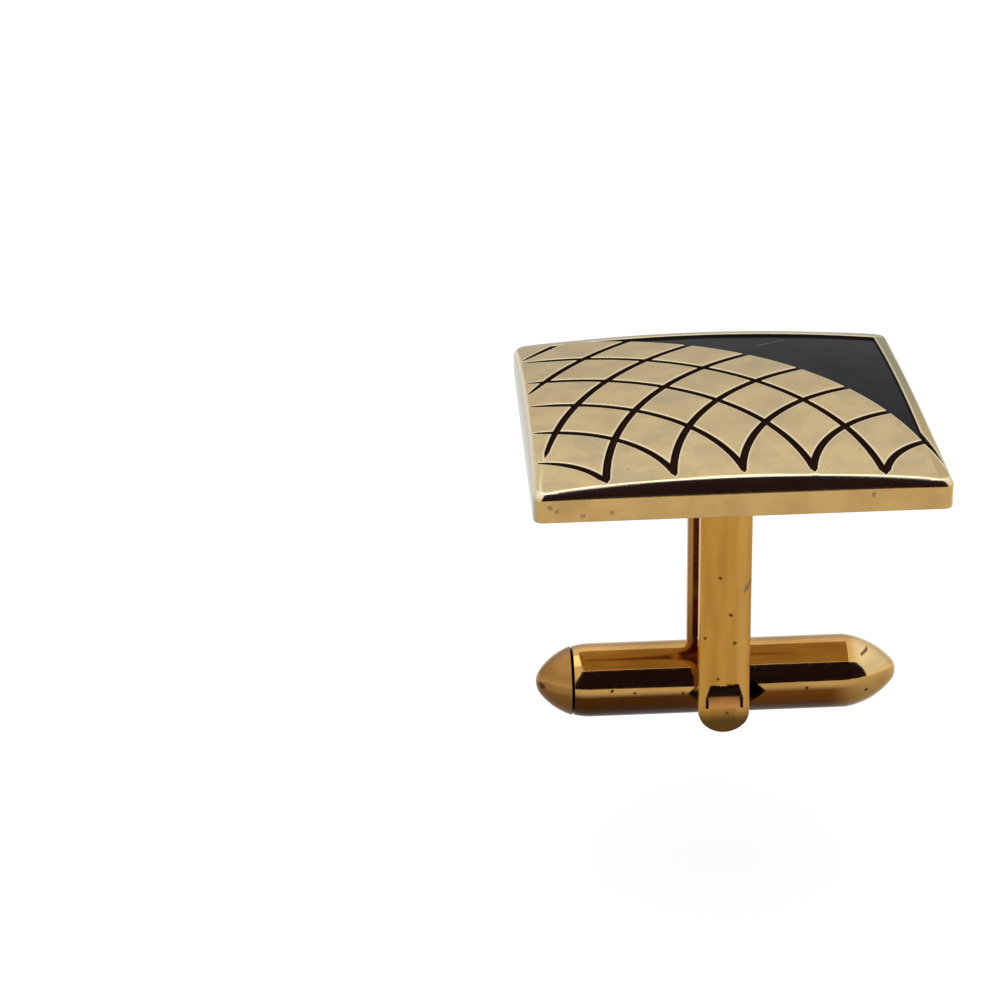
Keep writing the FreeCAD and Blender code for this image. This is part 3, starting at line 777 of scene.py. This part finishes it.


# Enamel: black in the open field, dull in the grooves before its border and browned there by a painted
# reflection of their gold walls, with a hairline
ENAMEL_CLOUD = 2.5
ENAMEL_DARK = colour(0.007, 0.007, 0.009)
ENAMEL_PALE = colour(0.014, 0.0135, 0.016)
ENAMEL_GROOVE_REFLECTION = colour(0.016, 0.004, 0.001)
ENAMEL_GROOVE_ROUGH = 0.7
BORDER_BLUR = 0.05
HAIRLINE = ((2.68, 7.05, 0.0), (4.27, 8.15, 0.0))
HAIRLINE_WIDTH = 0.035
HAIRLINE_ROUGH = 0.4
HAIRLINE_COLOUR = colour(0.22, 0.22, 0.24)
ENAMEL_SMEAR = 0.6
ENAMEL_ROUGH = (0.07, 0.14)
ENAMEL_SPECULAR = 0.03
ENAMEL_WAVE = 1.2
ENAMEL_RELIEF = 0.004


def enamel(face):
    """Glossy black enamel with a hairline, dull in the narrow grooves and browned there by a painted
    reflection of their gold walls.
    """
    g = Graph("enamel")
    base = g.mix(g.ramp(g.noise(ENAMEL_CLOUD, CLOUD_DETAIL), *EVEN), ENAMEL_DARK, ENAMEL_PALE)
    arm = g.vector("SUBTRACT", g.place, (0.0, 0.0, face.ball))
    away = g.vector("LENGTH", g.vector("CROSS_PRODUCT", arm, tuple(face.axis(face.left))))
    open_field = g.ramp(away, face.border - BORDER_BLUR, face.border + BORDER_BLUR)
    # Painted reflection of the gold groove walls: brown enamel in the grooves
    base = g.mix(open_field, ENAMEL_GROOVE_REFLECTION, base)
    line = g.scratch(g.flat(FROM_ABOVE), *HAIRLINE, HAIRLINE_WIDTH)
    base = g.mix(line, base, HAIRLINE_COLOUR)
    rough = g.ramp(g.noise(ENAMEL_SMEAR, FINE_DETAIL), *EVEN, *ENAMEL_ROUGH)
    rough = g.plus(rough, g.times(line, HAIRLINE_ROUGH))
    rough = g.largest(rough, g.minus(ENAMEL_GROOVE_ROUGH, open_field))
    g.set(Base_Color=base, Roughness=rough, Specular_IOR_Level=ENAMEL_SPECULAR)
    g.bump(g.noise(ENAMEL_WAVE), ENAMEL_RELIEF)
    return g.material


# Toggle: gilding clouded along its length
TOGGLE_CLOUD = 1.8
TOGGLE_STRETCH = (3.0, 1.0, 1.0)
TOGGLE_BRIGHT = colour(0.78, 0.45, 0.14)
TOGGLE_DULL = colour(0.60, 0.33, 0.09)
# Painted shade on the lower half: where it starts and where the nose ends it, and its changes across
LOWER_SHADE_START = (2.15, 1.8)
LOWER_SHADE_END = (7.8, 5.5)
LOWER_SHADE_DOWNWARD = (1.8, 0.3)
LOWER_SHADE_LEFTWARD = (2.0, -3.0, 0.0, 0.6)
SHADE_UPPER_COLOUR = colour(0.245, 0.08, 0.010)
SHADE_LOWER_COLOUR = colour(0.055, 0.02, 0.004)
SHADE_LEFT_COLOUR = colour(0.05, 0.016, 0.003)
# Dullness of the cap, and the share of its painted shade that a wholly dull piece loses
CAP_DULL = 0.6
DULL_LOSES = 0.6
DULL_COLOUR = colour(0.27, 0.105, 0.020)
# Painted highlight on the top of the nose
NOSE_HIGHLIGHT_ALONG = (6.7, 7.4)
NOSE_HIGHLIGHT_UPWARD = (2.2, 2.8)
NOSE_HIGHLIGHT_COLOUR = colour(0.92, 0.66, 0.31)
# Pits, a nick and a spot on the front
TOGGLE_MARKS = ((-5.69, 0.0, 2.24), (-4.5, 0.0, 2.08), (-2.0, 0.0, 1.98), (4.47, 0.0, 1.99), (7.62, 0.0, 1.6))
TOGGLE_MARK_RADIUS = 0.12
NOSE_NICK = ((7.42, 0.0, 3.36), (7.76, 0.0, 3.44))
NOSE_NICK_WIDTH = 0.1
CAP_SPOT = (-9.3, 0.0, 2.05)
CAP_SPOT_RADIUS = 0.25
TOGGLE_PIT_CELL = 1.3
TOGGLE_PIT_RADIUS = 0.1
TOGGLE_PIT_SHARE = 0.1
TOGGLE_PIT_COLOUR = colour(0.11, 0.048, 0.016)
# Dirt in the seam, and painted shade around the slot in shares of its size
SEAM_DIRT = (0.09, 0.054)
SEAM_COLOUR = colour(0.02, 0.012, 0.006)
SLOT_SHADE = (1.14, 1.02)
SLOT_SHADE_COLOUR = colour(0.02, 0.010, 0.006)
TOGGLE_GRAIN = 0.3
TOGGLE_ROUGH = (0.06, 0.12)
TOGGLE_WAVE = 0.9
TOGGLE_WAVE_RISE = 0.25
TOGGLE_WAVE_STRETCH = (4.0, 1.0, 1.0)
TOGGLE_RELIEF = 0.012


def toggle_gilt(name, dull):
    """Polished gilding of the toggle, dull to a degree, with dirt in the seam, painted shade below and around
    the slot, and a painted highlight on the nose.
    """
    g = Graph(name)
    cloud = g.ramp(g.noise(TOGGLE_CLOUD, CLOUD_DETAIL, TOGGLE_STRETCH), *CLOUDS)
    base = g.mix(cloud, TOGGLE_BRIGHT, TOGGLE_DULL)
    # Painted shade: darker and redder towards the bottom, ended towards the nose
    painted_shade = g.mix(g.ramp(g.upright, *LOWER_SHADE_DOWNWARD), SHADE_UPPER_COLOUR, SHADE_LOWER_COLOUR)
    painted_shade = g.mix(g.ramp(g.across, *LOWER_SHADE_LEFTWARD), painted_shade, SHADE_LEFT_COLOUR)
    lower = g.ramp(g.upright, *LOWER_SHADE_START, 0.0, 1.0 - DULL_LOSES * dull)
    base = g.mix(g.times(lower, g.ramp(g.across, *LOWER_SHADE_END)), base, painted_shade)
    base = g.mix(dull, base, DULL_COLOUR)
    # Painted highlight on the top of the nose
    nose_highlight = g.times(g.ramp(g.across, *NOSE_HIGHLIGHT_ALONG), g.ramp(g.upright, *NOSE_HIGHLIGHT_UPWARD))
    base = g.mix(nose_highlight, base, NOSE_HIGHLIGHT_COLOUR)
    marks = g.largest(g.spots(TOGGLE_MARKS, TOGGLE_MARK_RADIUS), g.spots((CAP_SPOT,), CAP_SPOT_RADIUS))
    marks = g.largest(marks, g.scratch(g.flat(FROM_FRONT), *NOSE_NICK, NOSE_NICK_WIDTH))
    pits = g.pits(TOGGLE_PIT_CELL, TOGGLE_PIT_RADIUS, TOGGLE_PIT_SHARE)
    pits = g.largest(pits, g.times(marks, g.before(0.0)))
    base = g.mix(pits, base, TOGGLE_PIT_COLOUR)
    from_seam = g.unsigned(g.minus(g.across, SEAM))
    base = g.mix(g.ramp(from_seam, *SEAM_DIRT), base, SEAM_COLOUR)
    # Painted shade around the slot where the tabs enter the tube
    beside = g.math("DIVIDE", g.minus(g.across, SLOT_MIDDLE), SLOT_HALF)
    over = g.math("DIVIDE", g.unsigned(g.minus(g.upright, PIVOT)), SLOT_RISE)
    from_slot = g.plus(g.times(beside, beside), over)
    base = g.mix(g.ramp(from_slot, *SLOT_SHADE), base, SLOT_SHADE_COLOUR)
    rough = g.ramp(g.noise(TOGGLE_GRAIN, FINE_DETAIL), *POLISH, *TOGGLE_ROUGH)
    g.set(Base_Color=base, Metallic=1.0, Roughness=rough)
    wave = g.noise(TOGGLE_WAVE, SOFT_DETAIL, TOGGLE_WAVE_STRETCH)
    g.bump(g.minus(g.times(wave, TOGGLE_WAVE_RISE), pits), TOGGLE_RELIEF)
    return g.material


# Shank: gilding in upright columns, a painted highlight streak on the legs and painted shade on the feet
# inside the tube
SHANK_COLUMN = 0.8
SHANK_STRETCH = (1.0, 1.0, 6.0)
SHANK_BRIGHT = colour(0.86, 0.44, 0.085)
SHANK_DULL = colour(0.70, 0.335, 0.055)
HIGHLIGHT_STREAK_MIDDLE = 0.85
HIGHLIGHT_STREAK = (0.4, 0.1, 0.0, 0.5)
HIGHLIGHT_STREAK_COLOUR = colour(1.0, 0.57, 0.15)
FOOT_SHADE = (1.95, 0.9, 0.0, 0.92)
FOOT_SHADE_COLOUR = colour(0.12, 0.057, 0.014)
# Inner faces of the legs: painted shade on the flat, and a painted highlight on the edges
INNER_FACE = (LEG_INSIDE + 0.12, LEG_INSIDE + 0.02)
INNER_FLAT = (1.1, 1.0)
INNER_SHADE_COLOUR = colour(0.40, 0.14, 0.022)
INNER_EDGE = (1.0, 1.1)
INNER_EDGE_HIGHLIGHT_COLOUR = colour(0.62, 0.33, 0.10)
# Pits and a nick on the front of the front leg
LEG_FRONT = -LEG_INSIDE - 0.1
LEG_MARKS = ((-1.0, 0.0, 5.84), (-0.35, 0.0, 3.45), (0.26, 0.0, 7.1), (0.49, 0.0, 5.49), (0.14, 0.0, 1.44),
             (-0.3, 0.0, 9.2))
LEG_MARK_RADIUS = 0.12
LEG_NICK = ((0.95, 0.0, 8.45), (1.25, 0.0, 9.0))
LEG_NICK_WIDTH = 0.17
LEG_NICK_SHARE = 0.7
LEG_NICK_COLOUR = colour(0.20, 0.17, 0.14)
SHANK_PIT_CELL = 1.0
SHANK_PIT_RADIUS = 0.07
SHANK_PIT_SHARE = 0.25
SHANK_PIT_ROUGH = 0.3
SHANK_PIT_COLOUR = colour(0.22, 0.10, 0.03)
# Painted shade with grime in the window over the tab, with a ragged top, and in the slits beside the tab
SHADE_GRIME_OUT = SLIT_OUT + 0.02
SHADE_GRIME_FOOT = (BEND_TOP - 0.1, BEND_TOP - 0.02)
SHADE_GRIME_TOP = (WINDOW_TOP + 0.08, WINDOW_TOP + 0.02)
SHADE_GRIME_LUMP = 0.35
SHADE_GRIME_RAGGED = 0.7
SHADE_GRIME_COLOUR = colour(0.028, 0.008, 0.004)
SLIT_IN = TAB_HALF - 0.01
# Rubbed bend of the tab
BEND_START = (BEND_FOOT - 0.05, BEND_FOOT)
RUBBED_COLOUR = colour(0.56, 0.235, 0.062)
# What the rubbed bend, the painted highlight on the inner edges and the painted shade with grime lose of
# their metal, and what the bend and the shade with grime gain in roughness
METAL_LOSS = 0.8
ROUGH_GAIN = 0.3
SHANK_GRAIN = 0.25
SHANK_GRAIN_RISE = 0.03
SHANK_ROUGH = (0.21, 0.28)
SHANK_SPECULAR = 0.2
SHANK_RELIEF = 0.012


def shank_gilt():
    """Worn gilding of the legs, with painted highlights on a streak and the inner edges, painted shade on the
    feet and between the legs, painted shade with grime in the window, and rubbed bright on the bend.
    """
    g = Graph("shank_gilt")
    side = g.unsigned(g.across)
    column = g.ramp(g.noise(SHANK_COLUMN, CLOUD_DETAIL, SHANK_STRETCH), *EVEN)
    base = g.mix(column, SHANK_BRIGHT, SHANK_DULL)
    # Painted highlight: a light streak down the legs
    from_highlight_streak = g.unsigned(g.minus(g.across, HIGHLIGHT_STREAK_MIDDLE))
    base = g.mix(g.ramp(from_highlight_streak, *HIGHLIGHT_STREAK), base, HIGHLIGHT_STREAK_COLOUR)
    # Painted shade on the feet of the legs inside the tube
    base = g.mix(g.ramp(g.upright, *FOOT_SHADE), base, FOOT_SHADE_COLOUR)
    # Painted shade on the flat inner faces of the legs, and a painted highlight on their edges
    inner = g.ramp(g.unsigned(g.deep), *INNER_FACE)
    base = g.mix(g.times(inner, g.ramp(side, *INNER_FLAT)), base, INNER_SHADE_COLOUR)
    edge_highlight = g.times(inner, g.ramp(side, *INNER_EDGE))
    base = g.mix(edge_highlight, base, INNER_EDGE_HIGHLIGHT_COLOUR)
    in_front = g.before(LEG_FRONT)
    nick = g.times(g.scratch(g.uneven(FROM_FRONT), *LEG_NICK, LEG_NICK_WIDTH), in_front)
    base = g.mix(g.times(nick, LEG_NICK_SHARE), base, LEG_NICK_COLOUR)
    pits = g.times(g.spots(LEG_MARKS, LEG_MARK_RADIUS), in_front)
    pits = g.largest(pits, g.pits(SHANK_PIT_CELL, SHANK_PIT_RADIUS, SHANK_PIT_SHARE))
    base = g.mix(pits, base, SHANK_PIT_COLOUR)
    # Painted shade with grime in the window over the tab and in the slits beside it
    above_bend = g.largest(g.minus(g.upright, BEND_TOP), 0.0)
    within = g.less(side, g.minus(SHADE_GRIME_OUT, g.times(above_bend, WINDOW_NARROWS)))
    ragged = g.minus(g.noise(SHADE_GRIME_LUMP, FINE_DETAIL), NOISE_MIDDLE)
    level = g.plus(g.upright, g.times(ragged, SHADE_GRIME_RAGGED))
    window = g.times(within, g.times(g.ramp(g.upright, *SHADE_GRIME_FOOT), g.ramp(level, *SHADE_GRIME_TOP)))
    at_bend = g.times(g.ramp(g.upright, *BEND_START), g.less(g.upright, BEND_TOP))
    slit = g.times(g.times(g.less(SLIT_IN, side), within), at_bend)
    shade_and_grime = g.largest(window, slit)
    rubbed = g.times(at_bend, g.less(side, TAB_HALF))
    base = g.mix(rubbed, base, RUBBED_COLOUR)
    base = g.mix(shade_and_grime, base, SHADE_GRIME_COLOUR)
    # Less metal on the rubbed bend, the painted highlight on the inner edges and the painted shade with grime
    metal = g.minus(1.0, g.times(g.largest(rubbed, edge_highlight), METAL_LOSS))
    metal = g.minus(metal, g.times(shade_and_grime, METAL_LOSS))
    grain = g.noise(SHANK_GRAIN, FINE_DETAIL)
    rough = g.plus(g.ramp(grain, *POLISH, *SHANK_ROUGH), g.times(pits, SHANK_PIT_ROUGH))
    rough = g.plus(rough, g.times(g.largest(rubbed, shade_and_grime), ROUGH_GAIN))
    g.set(Base_Color=base, Metallic=metal, Roughness=rough, Specular_IOR_Level=SHANK_SPECULAR)
    g.bump(g.minus(g.times(grain, SHANK_GRAIN_RISE), pits), SHANK_RELIEF)
    return g.material


# Spring wire
STEEL_CLOUD = 0.3
STEEL_DARK = colour(0.42, 0.42, 0.44)
STEEL_PALE = colour(0.56, 0.56, 0.57)
STEEL_SMEAR = 0.1
STEEL_ROUGH = (0.25, 0.4)
STEEL_GRAIN = 0.06
STEEL_RELIEF = 0.003


def steel():
    """Drawn spring wire."""
    g = Graph("steel")
    base = g.mix(g.noise(STEEL_CLOUD, FINE_DETAIL), STEEL_DARK, STEEL_PALE)
    g.set(Base_Color=base, Metallic=1.0, Roughness=g.ramp(g.noise(STEEL_SMEAR), *EVEN, *STEEL_ROUGH))
    g.bump(g.noise(STEEL_GRAIN), STEEL_RELIEF)
    return g.material


def dress(item, material):
    """Gives a piece one material in place of those it had."""
    item.data.materials.clear()
    item.data.materials.append(material)


# Floor: level in millimetres, half width in metres
FLOOR = -7.75
FLOOR_HALF = 1.5
FLOOR_COLOUR = colour(0.25, 0.25, 0.25)
FLOOR_GLOW = 0.82
PAPER_ROUGH = 0.9
WHITE = colour(1.0, 1.0, 1.0)
# Flag: distance in metres, and its edges as angles from the object in degrees
FLAG_AWAY = 0.25
FLAG_LEFT = 24
FLAG_RIGHT = 52
FLAG_LOW = 3
FLAG_HIGH = 55
FLAG_COLOUR = colour(0.012, 0.0065, 0.02)
# Tent: pairs of a height, from -1 straight down to 1 straight up, and a brightness
FRONT_STOPS = ((-1.0, 0.45), (-0.8, 0.45), (-0.45, 0.55), (-0.08, 0.65), (0.0, 0.95), (0.12, 0.8))
REAR_STOPS = ((-1.0, 0.45), (-0.8, 0.5), (-0.45, 0.8), (-0.1, 0.8), (0.0, 0.68), (0.12, 0.5))
UPPER_STOPS = ((0.42, 0.7), (0.7, 0.9), (0.9, 0.85))
# Rearward share of the direction over which the front of the tent passes into its rear
REAR_START = 0.1
REAR_END = 0.6
# Lamp above the object, in metres and watts
LAMP_LENGTH = 0.3
LAMP_DEPTH = 0.25
LAMP_POWER = 0.22
LAMP_PLACE = (0.0, 0.04, 0.32)


def make_camera():
    data = bpy.data.cameras.new("camera")
    data.lens = LENS
    data.sensor_width = SENSOR
    data.clip_start = NEAREST * MM
    camera = bpy.data.objects.new("camera", data)
    columns = Matrix((RIGHT, -DOWN, -AHEAD)).transposed()
    camera.matrix_world = Matrix.LocRotScale(EYE, columns.to_quaternion(), None)
    bpy.context.scene.collection.objects.link(camera)
    bpy.context.scene.camera = camera


def flat_sheet(name, corners, material):
    mesh = bpy.data.meshes.new(name)
    mesh.from_pydata(corners, [], [(0, 1, 2, 3)])
    sheet = bpy.data.objects.new(name, mesh)
    sheet.data.materials.append(material)
    bpy.context.scene.collection.objects.link(sheet)
    return sheet


def paper(name, shade, glow=0.0):
    """Flat paper of a colour, which may glow."""
    material = bpy.data.materials.new(name)
    material.use_nodes = True
    shader = material.node_tree.nodes["Principled BSDF"]
    shader.inputs["Base Color"].default_value = shade
    shader.inputs["Roughness"].default_value = PAPER_ROUGH
    shader.inputs["Specular IOR Level"].default_value = 0.0
    shader.inputs["Emission Color"].default_value = WHITE
    shader.inputs["Emission Strength"].default_value = glow
    return material


def make_floor():
    """Pale floor, just below the toggle when it is turned in line with the shank."""
    half = FLOOR_HALF
    level = FLOOR * MM
    corners = [(-half, -half, level), (half, -half, level), (half, half, level), (-half, half, level)]
    floor = flat_sheet("floor", corners, paper("floor", FLOOR_COLOUR, FLOOR_GLOW))
    floor.visible_glossy = False


def make_flag():
    """Black flag in front of the object, behind the camera; the dark bands are its reflection."""
    left = -FLAG_AWAY * math.tan(math.radians(FLAG_LEFT))
    right = FLAG_AWAY * math.tan(math.radians(FLAG_RIGHT))
    low = -FLAG_AWAY * math.tan(math.radians(FLAG_LOW))
    high = FLAG_AWAY * math.tan(math.radians(FLAG_HIGH))
    corners = [(x, -FLAG_AWAY, z) for x, z in ((left, low), (right, low), (right, high), (left, high))]
    flag = flat_sheet("flag", corners, paper("flag", FLAG_COLOUR))
    flag.visible_camera = False
    flag.visible_diffuse = False
    flag.visible_shadow = False


def tent_ramp(tree, height, stops):
    """Brightness of the tent by height."""
    ramp = tree.nodes.new("ShaderNodeValToRGB")
    tree.links.new(height, ramp.inputs["Fac"])
    positions = [(place + 1) / 2 for place, _ in stops]
    for position in positions[1:-1]:
        ramp.color_ramp.elements.new(position)
    for element, position, (_, shade) in zip(ramp.color_ramp.elements, positions, stops):
        element.position = position
        element.color = colour(shade, shade, shade)
    return ramp.outputs["Color"]


def make_sky():
    """Soft white tent: bright above, behind and at the horizon, dimmer below and in front."""
    world = bpy.data.worlds.new("tent")
    bpy.context.scene.world = world
    world.use_nodes = True
    tree = world.node_tree
    way = tree.nodes.new("ShaderNodeTexCoord")
    parts = tree.nodes.new("ShaderNodeSeparateXYZ")
    tree.links.new(way.outputs["Generated"], parts.inputs[0])
    height = tree.nodes.new("ShaderNodeMapRange")
    height.inputs["From Min"].default_value = -1.0
    tree.links.new(parts.outputs["Z"], height.inputs["Value"])
    behind = tree.nodes.new("ShaderNodeMapRange")
    behind.inputs["From Min"].default_value = REAR_START
    behind.inputs["From Max"].default_value = REAR_END
    tree.links.new(parts.outputs["Y"], behind.inputs["Value"])
    both = tree.nodes.new("ShaderNodeMix")
    both.data_type = "RGBA"
    tree.links.new(behind.outputs["Result"], both.inputs[0])
    colours = [socket for socket in both.inputs if socket.type == "RGBA"]
    for stops, socket in zip((FRONT_STOPS, REAR_STOPS), colours):
        tree.links.new(tent_ramp(tree, height.outputs["Result"], stops + UPPER_STOPS), socket)
    mixed = [socket for socket in both.outputs if socket.type == "RGBA"][0]
    tree.links.new(mixed, tree.nodes["Background"].inputs["Color"])


def make_lamp():
    data = bpy.data.lights.new("softbox", "AREA")
    data.shape = "RECTANGLE"
    data.size = LAMP_LENGTH
    data.size_y = LAMP_DEPTH
    data.energy = LAMP_POWER
    lamp = bpy.data.objects.new("softbox", data)
    lamp.location = LAMP_PLACE
    bpy.context.scene.collection.objects.link(lamp)


def main():
    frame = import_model()
    nodes = frame["nodes"]
    bpy.context.scene.view_settings.view_transform = "Standard"
    face = Face()
    dress(make_face(face), face_gilt())
    dress(nodes["enamel_inlay"], enamel(face))
    dress(nodes["back_plate"], gilt("back_gilt", *BACK_GILT))
    dress(nodes["shank"], shank_gilt())
    dress(nodes["toggle_tube"], toggle_gilt("toggle_gilt", 0.0))
    dress(nodes["end_cap"], toggle_gilt("cap_gilt", CAP_DULL))
    dress(nodes["plunger"], gilt("brass", *BRASS))
    dress(make_spring(nodes["detent_spring"]), steel())
    make_floor()
    make_flag()
    make_sky()
    make_lamp()
    make_camera()


main()
